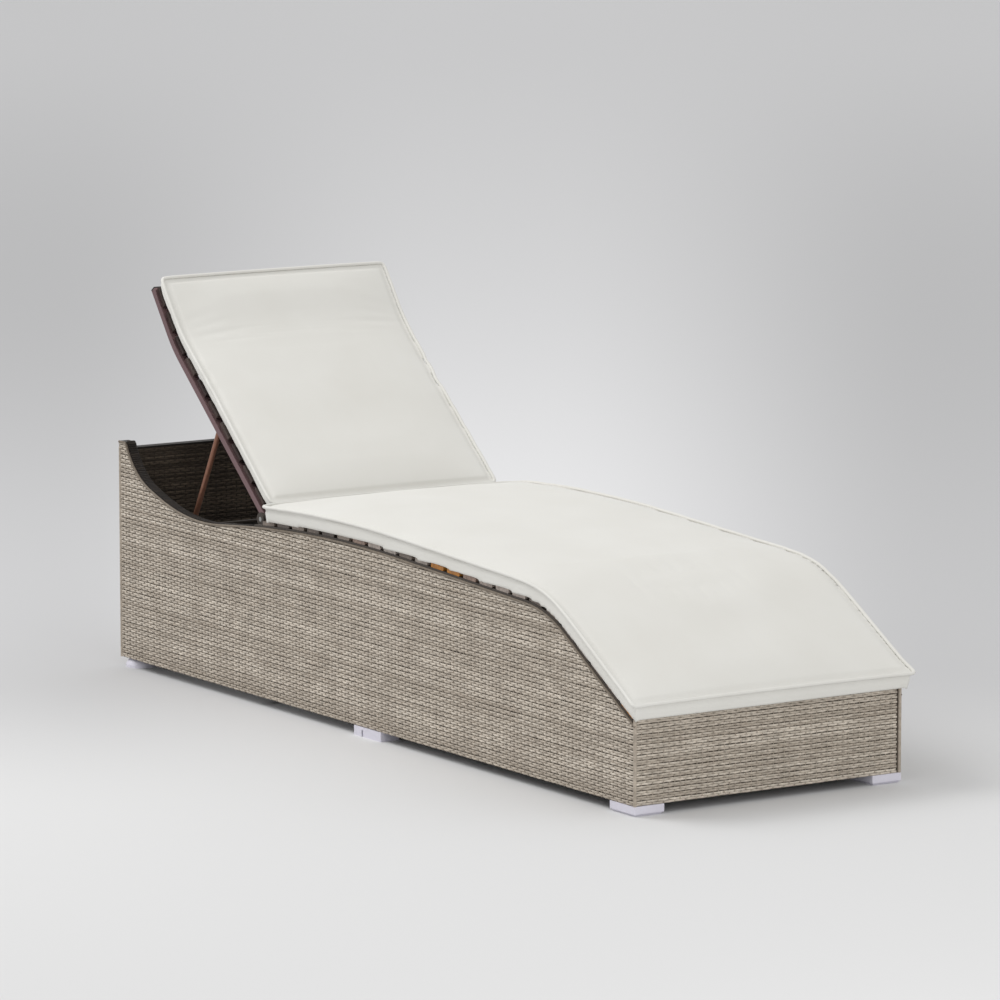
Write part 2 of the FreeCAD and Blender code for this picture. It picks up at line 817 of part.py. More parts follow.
def rail_end_plugs():
    """Moulded plugs that close the upper ends of the rails."""
    width = size("backrest_rail_width")
    height = size("backrest_rail_height")
    inset = size("tube_wall") + size("end_plug_clearance")
    thickness = size("end_plug_thickness")
    depth = size("end_plug_depth")
    point, direction = backrest_path.at(backrest_path.length())
    plugs = []
    for _, sign in SIDES:
        y = at_side_number(sign, back_outer, width)
        cap = Part.makeBox(thickness, width, height, Vector(0, y, -height / 2))
        spigot = Part.makeBox(
            depth, width - 2 * inset, height - 2 * inset, Vector(-depth, y + inset, inset - height / 2)
        )
        plugs.append(cap.fuse(spigot).transformed(in_plane(point, direction, TILTED).toMatrix()))
    made = doc.addObject("Part::Feature", "plugs")
    made.Shape = Part.makeCompound(plugs)
    node(made, "rail_end_plugs")


def backrest_cross_bars():
    """Tubes between the rails, level with their upper faces."""
    tube = size("tube_size")
    across = 2 * (back_outer - size("backrest_rail_width"))
    inside = tube - 2 * size("tube_wall")
    places = {
        "backrest_bottom_bar": size("bottom_bar_from_hinge"),
        "backrest_middle_bar": size("prop_length") + size("middle_bar_past_pivot"),
        "backrest_top_bar": backrest_path.length() - tube / 2,
    }
    for label, distance in places.items():
        point, direction = backrest_path.at(distance, (size("backrest_rail_height") - tube) / 2)
        bar = Part.makeBox(tube, across, tube, Vector(-tube / 2, -across / 2, -tube / 2))
        bore = Part.makeBox(inside, across, inside, Vector(-inside / 2, -across / 2, -inside / 2))
        made = doc.addObject("Part::Feature", "bar")
        made.Shape = bar.cut(bore).transformed(in_plane(point, direction, TILTED).toMatrix())
        node(made, label)


def backrest_slats():
    offset = size("backrest_rail_height") / 2
    start = size("first_back_slat_from_hinge")
    end = backrest_path.length() - size("last_back_slat_from_top")
    length = 2 * (back_outer - size("back_slat_inset"))
    slat_row(backrest_path, offset, start, end, length, TILTED, "backrest_slats")


# Prop: pivot on the backrest as far from the hinge as the prop is long, so its foot bar slides
# along one straight line through the hinge as the backrest tilts
prop_length = size("prop_length")
rest_reach = 2 * prop_length * math.cos(math.radians(size("backrest_angle") + size("rack_slope")))
PIVOT_INNER = f"{BACK_OUTER} - backrest_rail_width"
EYE_OUTER = f"{PIVOT_INNER} - prop_lug_thickness - side_clearance"
hinge_point = Vector(hinge_x, 0, size("hinge_height"))
pivot_point = TILTED.multVec(Vector(prop_length, 0, 0))
slope = math.radians(size("rack_slope"))
foot_point = hinge_point + Vector(-math.cos(slope), 0, -math.sin(slope)) * rest_reach


def rod(diameter, length):
    made = doc.addObject("Part::Cylinder", "rod")
    return bind(made, Radius=f"({diameter}) / 2", Height=length)


def across_y(thing, x, y_from, z):
    """Turn a piece made along +Z so that it runs along +Y from a given Y."""
    thing.Placement = Placement(Vector(x, 0, z), Rotation(Vector(1, 0, 0), -90))
    return bind(thing, Placement__Base__y=y_from)


def prop_pivots():
    half = size("backrest_rail_height") / 2
    reach = size("prop_lug_length") / 2
    outline = lines(
        (prop_length - reach, -half), (prop_length + reach, -half),
        (prop_length + reach, half), (prop_length - reach, half), (prop_length - reach, -half),
    )
    inner = back_outer - size("backrest_rail_width")
    long_pin = "prop_eye_width + 2 * side_clearance"
    lug_face = f"{PIVOT_INNER} - prop_lug_thickness"
    lugs = []
    pins = []
    for _, sign in SIDES:
        lugs.append(tilted_plate(outline, inner, "prop_lug_thickness", sign, TILTED))
        pin = turned_pin("prop_pin_diameter", "prop_pin_head_diameter", "pin_head_thickness", long_pin)
        pins.append(point_along_y(pin, sign, f"{pivot_point.x}", lug_face, f"{pivot_point.z}"))
    group(lugs, "prop_lugs")
    group(pins, "prop_pins")


def prop_legs():
    """Round rods with an eye at each end: the upper turns on the pin, the lower holds the foot bar."""
    down = foot_point - pivot_point
    lean = Rotation(Vector(0, 0, 1), down)
    for side, sign in SIDES:
        y = at_side(sign, EYE_OUTER, "prop_eye_width")
        eyes = [
            across_y(rod(diameter, "prop_eye_width"), end.x, y, end.z)
            for diameter, end in (("prop_eye_diameter", pivot_point), ("foot_eye_diameter", foot_point))
        ]
        shank = rod("prop_rod_diameter", "prop_length")
        shank.Placement = Placement(pivot_point, lean)
        bind(shank, Placement__Base__y=f"{y} + prop_eye_width / 2")
        leg = doc.addObject("Part::MultiFuse", "leg")
        leg.Shapes = [shank] + eyes
        pin_bore = across_y(
            rod("prop_pin_diameter + 2 * running_clearance", "prop_eye_width"),
            pivot_point.x, y, pivot_point.z,
        )
        bar_bore = across_y(
            rod("prop_rod_diameter + 2 * running_clearance", "prop_eye_width"),
            foot_point.x, y, foot_point.z,
        )
        node(cut(cut(leg, pin_bore), bar_bore), f"prop_leg_{side}")


def prop_foot():
    half = f"{INNER_Y} - sleeve_end_gap"
    bar = rod("prop_rod_diameter", f"2 * ({half})")
    node(across_y(bar, foot_point.x, f"-({half})", foot_point.z), "prop_foot_bar")
    sleeves = []
    for _, sign in SIDES:
        sleeve = ring("sleeve_diameter", "prop_rod_diameter + 2 * running_clearance", "sleeve_length")
        y = at_side(sign, half, "sleeve_length")
        sleeves.append(across_y(sleeve, foot_point.x, y, foot_point.z))
    group(sleeves, "prop_sleeves")


def prop_racks():
    """Notched bars below the sleeves' line of travel."""
    top = -size("sleeve_diameter") / 2 - size("rack_tip_clearance")
    low = top - size("rack_depth")
    radius = size("notch_radius")
    depth = size("notch_depth")
    mouth = math.sqrt(radius ** 2 - (radius - depth) ** 2)
    each_way = int(size("notches_each_way"))
    places = [rest_reach + number * size("notch_pitch") for number in range(-each_way, each_way + 1)]
    notches = [
        Part.Arc(
            Vector(place - mouth, top, 0), Vector(place, top - depth, 0), Vector(place + mouth, top, 0)
        )
        for place in places
    ]
    near = places[0] - mouth - size("rack_end_margin")
    far = places[-1] + mouth + size("rack_end_margin") / 2
    outline = closed(notches + lines((far, top), (far, low), (near, low), (near, top)))
    along = Placement(
        hinge_point,
        Rotation(Vector(0, 1, 0), -size("rack_slope")).multiply(Rotation(Vector(0, 0, 1), 180)),
    )
    for side, sign in SIDES:
        node(tilted_plate(outline, inner_y, "rack_width", sign, along), f"prop_rack_{side}")


# Cushions: crowned on top, sides drawn in between the corners, crown falling to the ends
SECTION_COUNT = 14
END_CROWN = 0.15
WAIST = 0.75
SIDE_STATION = 0.35
ROUND_STATIONS = (0.0, 0.06, 0.25, 0.6, 1.0)


def round_draw(distance, radius):
    """How far a round corner draws a side in, at a distance from the end."""
    if distance >= radius:
        return 0.0
    return radius - math.sqrt(radius ** 2 - (radius - distance) ** 2)


def cushion(path, offset, start, end, width, boxing, crown, placement, label, corner=0.0, turn=0.0):
    """A boxed cushion along a path; corner rounds its first end, turn leans its last end back."""
    inset = size("cushion_foot_inset")
    run = size("cushion_end_run")
    near = run * SIDE_STATION
    step = (end - start - 4 * run) / SECTION_COUNT
    inner = [start + 2 * run + number * step for number in range(SECTION_COUNT + 1)]
    first = [start, start + near, start + run]
    if corner:
        first = [start + corner * share for share in ROUND_STATIONS]
    sections = []
    for distance in first + inner + [end - run, end - near, end]:
        from_end = min(distance - start, end - distance) / (2 * run)
        rise = math.sin(math.pi / 2 * min(from_end, 1.0))
        along = (distance - start) / (end - start)
        half = width / 2 - size("cushion_side_pull") * math.sin(math.pi * along)
        half -= size("cushion_end_draw") * (1 - rise) ** 2 + round_draw(distance - start, corner)
        top = crown * (END_CROWN + (1 - END_CROWN) * rise)
        foot = half - inset
        waist = half - inset * WAIST
        low_right = Vector(0, foot, 0)
        high_right = Vector(0, half, boxing)
        low_left = Vector(0, -foot, 0)
        high_left = Vector(0, -half, boxing)
        wire = Part.Wire([
            Part.makeLine(low_left, low_right),
            Part.Arc(low_right, Vector(0, waist, boxing / 2), high_right).toShape(),
            Part.Arc(high_right, Vector(0, 0, boxing + top), high_left).toShape(),
            Part.Arc(high_left, Vector(0, -waist, boxing / 2), low_left).toShape(),
        ])
        point, direction = path.at(distance, offset)
        lean = turn * max(0.0, 1 - (end - distance) / (2 * run)) ** 2
        direction = Rotation(Vector(0, 0, 1), lean).multVec(direction)
        wire.Placement = in_plane(point, direction, placement)
        sections.append(wire)
    made = doc.addObject("Part::Feature", "cushion")
    made.Shape = Part.makeLoft(sections, True, False)
    node(made, label)


def cushions():
    seat_offset = deck_offset + size("slat_thickness") + size("cushion_clearance")
    start = wave.distance_at_x(hinge_x + size("seat_cushion_from_hinge"))
    turn = size("seat_cushion_turn")
    boxing = size("seat_cushion_boxing")
    lean = seat_offset * math.sin(foot_tilt) + boxing * math.sin(foot_tilt - math.radians(turn))
    end = wave.distance_at_x(foot_x + size("foot_overhang") - lean)
    cushion(
        wave, seat_offset, start, end, 2 * (half_width + size("seat_cushion_overhang")),
        boxing, size("seat_cushion_crown"), STILL, "seat_cushion",
        size("seat_cushion_round"), turn,
    )
    back_offset = size("backrest_rail_height") / 2 + size("slat_thickness") + size("cushion_clearance")
    cushion(
        backrest_path, back_offset, size("back_cushion_from_hinge"),
        backrest_path.length() + size("end_plug_thickness"),
        2 * (back_outer + size("back_cushion_overhang")),
        size("back_cushion_boxing"), size("back_cushion_crown"), TILTED, "backrest_cushion",
    )


side_walls(seat_cross_bars())
end_walls()
long_frame_tubes()
posts()
cross_tubes()
corner_feet()
bell_feet()
middle_feet()
seat_deck()
hinge_parts()
backrest_rails()
rail_end_plugs()
backrest_cross_bars()
backrest_slats()
prop_pivots()
prop_legs()
prop_foot()
prop_racks()
cushions()
doc.recompute()

for thing in doc.Objects:
    if "Invalid" in thing.State or "Error" in thing.State:
        raise RuntimeError(f"{thing.Label} failed: {thing.State}")
for thing in nodes:
    if thing.Shape.isNull() or not thing.Shape.isValid() or not thing.Shape.Solids:
        raise RuntimeError(f"{thing.Label} has no valid solid")

os.makedirs("parts", exist_ok=True)
for thing in nodes:
    thing.Shape.exportStep(f"parts/{thing.Label}.step")
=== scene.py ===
import math
import random

import bmesh
import bpy
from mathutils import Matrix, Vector
from mathutils.bvhtree import BVHTree
from mathutils.kdtree import KDTree


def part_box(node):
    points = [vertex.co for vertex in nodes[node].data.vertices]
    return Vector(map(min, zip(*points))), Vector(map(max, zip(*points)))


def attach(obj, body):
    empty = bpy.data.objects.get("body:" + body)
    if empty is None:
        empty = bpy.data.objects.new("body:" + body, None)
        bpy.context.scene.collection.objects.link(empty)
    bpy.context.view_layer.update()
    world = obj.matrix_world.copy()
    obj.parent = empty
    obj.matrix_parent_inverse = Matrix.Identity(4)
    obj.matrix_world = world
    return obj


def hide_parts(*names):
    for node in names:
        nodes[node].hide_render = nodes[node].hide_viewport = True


# Sun lounger: woven box base, slatted deck and backrest, two piped cushions, studio floor and light.
# Metres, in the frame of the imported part: +X to the foot end, +Z up, -Y the left side.
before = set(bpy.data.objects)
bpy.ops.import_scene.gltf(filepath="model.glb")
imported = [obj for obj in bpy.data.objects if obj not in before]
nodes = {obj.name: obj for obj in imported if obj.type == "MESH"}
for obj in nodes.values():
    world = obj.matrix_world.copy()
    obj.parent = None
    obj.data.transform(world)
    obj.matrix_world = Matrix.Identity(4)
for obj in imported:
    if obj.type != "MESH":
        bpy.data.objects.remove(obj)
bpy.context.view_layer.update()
MM = 0.001
TOUCH = 0.01 * MM
TINY = 1e-9
UP = Vector((0, 0, 1))
X_AXIS = Vector((1, 0, 0))
Y_AXIS = Vector((0, 1, 0))
SIDES = (("left", -1), ("right", 1))


# Materials
def linear(code):
    """An sRGB hex colour as linear RGBA."""
    parts = [int(code[i:i + 2], 16) / 255 for i in (0, 2, 4)]
    return [c / 12.92 if c <= 0.04045 else ((c + 0.055) / 1.055) ** 2.4 for c in parts] + [1.0]


def add(tree, kind, inputs=None, **settings):
    """Add a node: settings are its properties, inputs are values or linked sockets."""
    made = tree.nodes.new(kind)
    for name, value in settings.items():
        setattr(made, name, value)
    for name, value in (inputs or {}).items():
        if isinstance(value, bpy.types.NodeSocket):
            tree.links.new(value, made.inputs[name])
        else:
            made.inputs[name].default_value = value
    return made


MIX_A, MIX_B, MIX_OUT = 6, 7, 2


def material(name, **sockets):
    """A new material and its tree, with plain values set on its shader."""
    made = bpy.data.materials.new(name)
    made.use_nodes = True
    shader = made.node_tree.nodes["Principled BSDF"]
    for socket, value in sockets.items():
        shader.inputs[socket.replace("_", " ")].default_value = value
    return made, made.node_tree, shader


def wicker(name, dark, light, shade, strand_gloss):
    """Extruded polyethylene strand: satin, streaked along its length, each strand its own tone."""
    made, tree, shader = material(name, Specular_IOR_Level=0.35)
    place = add(tree, "ShaderNodeTexCoord").outputs["Object"]
    tone = add(tree, "ShaderNodeAttribute", attribute_name="strand_tone").outputs["Fac"]
    patch = add(tree, "ShaderNodeTexNoise", {"Vector": place, "Scale": 1 / (55 * MM), "Detail": 3})
    streak = add(tree, "ShaderNodeTexNoise", {"Vector": place, "Scale": 1 / (7 * MM), "Detail": 2})
    mixed = add(
        tree, "ShaderNodeMix", {0: tone, MIX_A: linear(dark), MIX_B: linear(light)}, data_type="RGBA"
    )
    share = add(
        tree, "ShaderNodeMapRange",
        {"Value": patch.outputs["Fac"], "From Min": 0.35, "From Max": 0.65, "To Min": 0, "To Max": 0.4},
    )
    stained = add(
        tree, "ShaderNodeMix",
        {0: share.outputs["Result"], MIX_A: mixed.outputs[MIX_OUT], MIX_B: linear(shade)}, data_type="RGBA",
    )
    fleck = add(
        tree, "ShaderNodeMapRange",
        {"Value": streak.outputs["Fac"], "From Min": 0.3, "From Max": 0.7, "To Min": 0.78, "To Max": 1.12},
    )
    colour = add(
        tree, "ShaderNodeMix",
        {0: 1.0, MIX_A: stained.outputs[MIX_OUT], MIX_B: fleck.outputs["Result"]},
        data_type="RGBA", blend_type="MULTIPLY",
    )
    tree.links.new(colour.outputs[MIX_OUT], shader.inputs["Base Color"])
    rough = add(
        tree, "ShaderNodeMapRange",
        {"Value": streak.outputs["Fac"], "To Min": strand_gloss, "To Max": strand_gloss + 0.25},
    )
    tree.links.new(rough.outputs["Result"], shader.inputs["Roughness"])
    bump = add(
        tree, "ShaderNodeBump",
        {"Height": streak.outputs["Fac"], "Strength": 0.25, "Distance": 0.4 * MM},
    )
    tree.links.new(bump.outputs["Normal"], shader.inputs["Normal"])
    return made


def cover_cloth():
    """Coated outdoor polyester: matt off-white, faint mottling and a fine plain weave.

    The thread spacing is drawn at 2.4 mm, coarser than real, so that it still shows."""
    made, tree, shader = material("coated_polyester", Sheen_Weight=0.12, Sheen_Roughness=0.5)
    place = add(tree, "ShaderNodeTexCoord").outputs["Object"]
    soil = add(tree, "ShaderNodeTexNoise", {"Vector": place, "Scale": 1 / (160 * MM), "Detail": 4})
    colour = add(
        tree, "ShaderNodeMix",
        {0: soil.outputs["Fac"], MIX_A: linear("D5D3CC"), MIX_B: linear("DFDED9")}, data_type="RGBA",
    )
    tree.links.new(colour.outputs[MIX_OUT], shader.inputs["Base Color"])
    thread = add(tree, "ShaderNodeTexNoise", {"Vector": place, "Scale": 1 / (2.4 * MM), "Detail": 1})
    drape = add(tree, "ShaderNodeTexNoise", {"Vector": place, "Scale": 1 / (45 * MM), "Detail": 2})
    height = add(
        tree, "ShaderNodeMath",
        {0: thread.outputs["Fac"], 1: drape.outputs["Fac"]}, operation="ADD",
    )
    bump = add(
        tree, "ShaderNodeBump",
        {"Height": height.outputs["Value"], "Strength": 0.12, "Distance": 0.6 * MM},
    )
    tree.links.new(bump.outputs["Normal"], shader.inputs["Normal"])
    rough = add(tree, "ShaderNodeMapRange", {"Value": soil.outputs["Fac"], "To Min": 0.52, "To Max": 0.7})
    tree.links.new(rough.outputs["Result"], shader.inputs["Roughness"])
    return made


def oiled_wood():
    """Oiled acacia: planks from weathered grey through brown to amber, grain along each plank."""
    made, tree, shader = material("oiled_acacia", Specular_IOR_Level=0.4, Coat_Weight=0.15)
    place = add(tree, "ShaderNodeTexCoord").outputs["Object"]
    tone = add(tree, "ShaderNodeAttribute", attribute_name="plank_tone").outputs["Fac"]
    stretch = (1 / (6 * MM), 1 / (90 * MM), 1 / (6 * MM))
    along = add(tree, "ShaderNodeMapping", {"Vector": place, "Scale": stretch})
    grain = add(tree, "ShaderNodeTexNoise", {"Vector": along.outputs["Vector"], "Scale": 1, "Detail": 4})
    shades = add(tree, "ShaderNodeValToRGB", {"Fac": tone})
    steps = shades.color_ramp.elements
    steps[0].color = linear("2E2320")
    steps[1].position = 0.3
    steps[1].color = linear("8C7F74")
    for position, code in ((0.55, "B9B0A8"), (0.75, "7A4A26"), (0.9, "D08A2C")):
        steps.new(position).color = linear(code)
    dark = add(
        tree, "ShaderNodeMapRange",
        {"Value": grain.outputs["Fac"], "From Min": 0.3, "From Max": 0.7, "To Min": 0.6, "To Max": 1.1},
    )
    colour = add(
        tree, "ShaderNodeMix",
        {0: 1.0, MIX_A: shades.outputs["Color"], MIX_B: dark.outputs["Result"]},
        data_type="RGBA", blend_type="MULTIPLY",
    )
    tree.links.new(colour.outputs[MIX_OUT], shader.inputs["Base Color"])
    rough = add(tree, "ShaderNodeMapRange", {"Value": grain.outputs["Fac"], "To Min": 0.35, "To Max": 0.6})
    tree.links.new(rough.outputs["Result"], shader.inputs["Roughness"])
    bump = add(
        tree, "ShaderNodeBump",
        {"Height": grain.outputs["Fac"], "Strength": 0.3, "Distance": 0.3 * MM},
    )
    tree.links.new(bump.outputs["Normal"], shader.inputs["Normal"])
    return made


def mottled(name, dark, light, grit, low, high, depth, **sockets):
    """A surface with one grit: colour, gloss and bump vary at that size in millimetres."""
    made, tree, shader = material(name, **sockets)
    place = add(tree, "ShaderNodeTexCoord").outputs["Object"]
    grain = add(tree, "ShaderNodeTexNoise", {"Vector": place, "Scale": 1 / (grit * MM), "Detail": 3})
    colour = add(
        tree, "ShaderNodeMix",
        {0: grain.outputs["Fac"], MIX_A: linear(dark), MIX_B: linear(light)}, data_type="RGBA",
    )
    tree.links.new(colour.outputs[MIX_OUT], shader.inputs["Base Color"])
    rough = add(tree, "ShaderNodeMapRange", {"Value": grain.outputs["Fac"], "To Min": low, "To Max": high})
    tree.links.new(rough.outputs["Result"], shader.inputs["Roughness"])
    bump = add(
        tree, "ShaderNodeBump",
        {"Height": grain.outputs["Fac"], "Strength": 0.2, "Distance": depth * MM},
    )
    tree.links.new(bump.outputs["Normal"], shader.inputs["Normal"])
    return made


taupe_wicker = wicker("taupe_polyethylene_wicker", "AFA496", "D8CEC0", "9C9082", 0.42)
# Dark wicker: painted shade, the same strand darkened for the insides of the well and the sheets behind the
# strands
painted_shade_wicker = wicker("painted_shade_polyethylene_wicker", "463D33", "786B5C", "3A3129", 0.45)
brown_wicker = wicker("brown_polyethylene_wicker", "7C7164", "8F8375", "6A5F53", 0.45)
# Umber wicker: painted shade, near-black for the rims under the cushion edges and inside the well
umber_painted_shade_rim_wicker = wicker("painted_shade_umber_wicker", "241E1A", "3A322B", "1E1916", 0.5)
cover = cover_cloth()
wood = oiled_wood()
# Moulded polypropylene: cool white, faintly grained, soft gloss
polypropylene = mottled("moulded_polypropylene", "CECBD6", "DAD8E2", 3, 0.35, 0.5, 0.1)
# Glass-filled nylon: near-black, moulded
nylon = mottled("black_nylon", "1E1D1C", "2A2927", 2, 0.4, 0.6, 0.1)
# Powder-coated steel tube: dark brown, orange-peel texture
brown_coat = mottled("brown_powder_coat", "332C26", "40372F", 1.5, 0.45, 0.6, 0.15)
# Pale bronze anodised aluminium: metallic with a pink cast, fine brushing
bronze = mottled("bronze_anodised_aluminium", "6F5A5C", "96797A", 4, 0.25, 0.4, 0.05, Metallic=0.85)
# Copper-brown lacquered steel rod
copper = mottled("copper_lacquered_steel", "7A5140", "A07560", 6, 0.3, 0.45, 0.05, Metallic=0.55)
# Bright zinc plate on turned steel
zinc = mottled("zinc_plated_steel", "9C9C9A", "B8B8B5", 3, 0.25, 0.4, 0.03, Metallic=1.0)


# Mesh helpers
def shown(name, data):
    """A new object in the scene."""
    made = bpy.data.objects.new(name, data)
    bpy.context.scene.collection.objects.link(made)
    return made


def put(name, mesh, finish, body, slot, *replaced):
    """Add a mesh as a piece of the object that rides on a body."""
    piece = shown(name, mesh)
    if finish:
        piece.data.materials.clear()
        piece.data.materials.append(finish)
    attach(piece, body)
    if replaced:
        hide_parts(*replaced)
    return piece


def merged(node):
    """A bmesh copy of a CAD node with its loose triangles joined."""
    copy = bmesh.new()
    copy.from_mesh(nodes[node].data)
    bmesh.ops.remove_doubles(copy, verts=copy.verts, dist=TOUCH)
    return copy


def groups(edges):
    """Vertices that these edges join, one list for each group, in a fixed order."""
    links = {}
    for edge in edges:
        first, second = edge.verts
        links.setdefault(first, []).append(second)
        links.setdefault(second, []).append(first)
    left = dict.fromkeys(links)
    found = []
    while left:
        reach = [next(iter(left))]
        del left[reach[0]]
        for vert in reach:
            for other in links[vert]:
                if other in left:
                    del left[other]
                    reach.append(other)
        found.append(reach)
    return found


def to_mesh(work, name):
    mesh = bpy.data.meshes.new(name)
    work.to_mesh(mesh)
    work.free()
    return mesh


def plain_mesh(made, name):
    """The evaluated object as a plain mesh; the object itself goes."""
    graph = bpy.context.evaluated_depsgraph_get()
    mesh = bpy.data.meshes.new_from_object(made.evaluated_get(graph))
    mesh.name = name
    bpy.data.objects.remove(made)
    return mesh


def tube(name, points, radius, closed=False, rounding=3):
    """A round tube along points, as a plain mesh."""
    curve = bpy.data.curves.new(name, "CURVE")
    curve.dimensions = "3D"
    curve.bevel_depth = radius
    curve.bevel_resolution = rounding
    curve.use_fill_caps = True
    line = curve.splines.new("POLY")
    line.points.add(len(points) - 1)
    for knot, point in zip(line.points, points):
        knot.co = (*point, 1)
    line.use_cyclic_u = closed
    mesh = plain_mesh(shown(name, curve), name)
    mesh.shade_smooth()
    return mesh


# Woven strands by geometry nodes
RAY_START = 30 * MM
RAY_LENGTH = 60 * MM
WANDER_RUN = 70 * MM
WANDER_STEP = 7.3
WANDER_SHARE = 4.0
STAKE_SHARE = 0.6
STRAND_CORNERS = 6
STAKE_CORNERS = 5


def weave_tree():
    """Strands in rows over upright stakes, kept where the panel lies behind them."""
    tree = bpy.data.node_groups.new("woven_strands", "GeometryNodeTree")
    sockets = (
        ("Panel", "NodeSocketObject"), ("Corner", "NodeSocketVector"), ("Along", "NodeSocketVector"),
        ("Outward", "NodeSocketVector"), ("Length", "NodeSocketFloat"), ("Height", "NodeSocketFloat"),
        ("Row Pitch", "NodeSocketFloat"), ("Stake Pitch", "NodeSocketFloat"),
        ("Strand Width", "NodeSocketFloat"), ("Strand Thickness", "NodeSocketFloat"),
        ("Weave Depth", "NodeSocketFloat"), ("Stray", "NodeSocketFloat"), ("First Row", "NodeSocketInt"),
        ("Stakes", "NodeSocketBool"), ("Seed", "NodeSocketInt"), ("Finish", "NodeSocketMaterial"),
    )
    tree.interface.new_socket("Strands", in_out="OUTPUT", socket_type="NodeSocketGeometry")
    for name, kind in sockets:
        tree.interface.new_socket(name, in_out="INPUT", socket_type=kind)
    given = add(tree, "NodeGroupInput").outputs

    def maths(operation, *values):
        made = add(tree, "ShaderNodeMath", dict(enumerate(values)), operation=operation)
        return made.outputs["Value"]

    def scaled(vector, factor):
        made = add(tree, "ShaderNodeVectorMath", {0: vector, "Scale": factor}, operation="SCALE")
        return made.outputs["Vector"]

    def summed(first, second):
        made = add(tree, "ShaderNodeVectorMath", {0: first, 1: second}, operation="ADD")
        return made.outputs["Vector"]

    def vector(**parts):
        return add(tree, "ShaderNodeCombineXYZ", parts).outputs["Vector"]

    def place():
        return add(tree, "GeometryNodeInputPosition").outputs["Position"]

    def stored(geometry, label, value):
        made = add(
            tree, "GeometryNodeStoreNamedAttribute",
            {"Geometry": geometry, "Name": label, "Value": value}, data_type="FLOAT", domain="POINT",
        )
        return made.outputs["Geometry"]

    def recalled(label):
        made = add(tree, "GeometryNodeInputNamedAttribute", {"Name": label}, data_type="FLOAT")
        return made.outputs["Attribute"]

    def on_panel(geometry, run, rise):
        """Move points from their own X and Y to the panel, then drop those with no panel behind."""
        flat = summed(summed(given["Corner"], scaled(given["Along"], run)), vector(Z=rise))
        placed = add(tree, "GeometryNodeSetPosition", {"Geometry": geometry, "Position": flat})
        solid = add(tree, "GeometryNodeObjectInfo", {"Object": given["Panel"]}).outputs["Geometry"]
        hit = add(
            tree, "GeometryNodeRaycast",
            {
                "Target Geometry": solid,
                "Source Position": summed(place(), scaled(given["Outward"], RAY_START)),
                "Ray Direction": scaled(given["Outward"], -1.0),
                "Ray Length": RAY_LENGTH,
            },
        ).outputs["Is Hit"]
        bare = add(tree, "FunctionNodeBooleanMath", {0: hit}, operation="NOT").outputs["Boolean"]
        kept = add(
            tree, "GeometryNodeDeleteGeometry", {"Geometry": placed.outputs["Geometry"], "Selection": bare}
        )
        return add(tree, "GeometryNodeMeshToCurve", {"Mesh": kept.outputs["Geometry"]}).outputs["Curve"]

    def rows(count, gap, points, step):
        """Straight lines of points: one line for each place across."""
        starts = add(tree, "GeometryNodeMeshLine", {"Count": count, "Offset": gap}).outputs["Mesh"]
        line = add(tree, "GeometryNodeMeshLine", {"Count": points, "Offset": step}).outputs["Mesh"]
        spread = add(tree, "GeometryNodeInstanceOnPoints", {"Points": starts, "Instance": line})
        real = add(tree, "GeometryNodeRealizeInstances", {"Geometry": spread.outputs["Instances"]})
        return real.outputs["Geometry"]

    half_stake = maths("DIVIDE", given["Stake Pitch"], 2.0)
    double_row = maths("MULTIPLY", given["Row Pitch"], 2.0)
    row_count = maths("CEIL", maths("DIVIDE", given["Height"], double_row))
    point_count = maths("ADD", maths("FLOOR", maths("DIVIDE", given["Length"], half_stake)), 1.0)
    drawn = rows(row_count, vector(Y=double_row), point_count, vector(X=half_stake))
    own = add(tree, "ShaderNodeSeparateXYZ", {"Vector": place()}).outputs
    marked = stored(stored(drawn, "run", own["X"]), "rise", own["Y"])
    run = recalled("run")
    rise = recalled("rise")
    first_rise = maths("MULTIPLY", maths("ADD", given["First Row"], 0.5), given["Row Pitch"])
    height = maths("ADD", rise, first_rise)
    strands = on_panel(marked, run, height)

    # Each strand passes in front of one stake and behind the next; neighbours do the opposite
    phase = maths("ADD", maths("DIVIDE", run, given["Stake Pitch"]), given["First Row"])
    swing = maths("MULTIPLY", maths("COSINE", maths("MULTIPLY", phase, math.pi)), given["Weave Depth"])
    line_number = maths("ADD", maths("DIVIDE", rise, double_row), given["Seed"])
    drift = vector(X=maths("DIVIDE", run, WANDER_RUN), Y=maths("MULTIPLY", line_number, WANDER_STEP))
    wander = add(
        tree, "ShaderNodeTexNoise", {"Vector": drift, "Scale": 1.0, "Detail": 2.0}
    ).outputs["Fac"]
    pairing = maths("MULTIPLY", maths("SUBTRACT", 0.5, given["First Row"]), given["Stray"])
    reach = maths("MULTIPLY", given["Stray"], WANDER_SHARE)
    lift = maths("ADD", maths("MULTIPLY", maths("SUBTRACT", wander, 0.5), reach), pairing)
    moved = add(
        tree, "GeometryNodeSetPosition",
        {"Geometry": strands, "Offset": summed(scaled(given["Outward"], swing), vector(Z=lift))},
    ).outputs["Geometry"]
    whole = add(tree, "FunctionNodeFloatToInt", {"Float": line_number}).outputs["Integer"]
    tone = add(
        tree, "FunctionNodeRandomValue", {"ID": whole, "Seed": given["Seed"]}, data_type="FLOAT"
    ).outputs["Value"]
    toned = stored(moved, "strand_tone", tone)
    level = add(tree, "GeometryNodeSetCurveNormal", {"Curve": toned}, mode="Z_UP").outputs["Curve"]
    circle = add(
        tree, "GeometryNodeCurvePrimitiveCircle", {"Resolution": STRAND_CORNERS, "Radius": 0.5}
    ).outputs["Curve"]
    section = vector(X=given["Strand Thickness"], Y=given["Strand Width"], Z=1.0)
    flat = add(tree, "GeometryNodeTransform", {"Geometry": circle, "Scale": section}).outputs["Geometry"]
    strand_mesh = add(
        tree, "GeometryNodeCurveToMesh", {"Curve": level, "Profile Curve": flat, "Fill Caps": True}
    ).outputs["Mesh"]

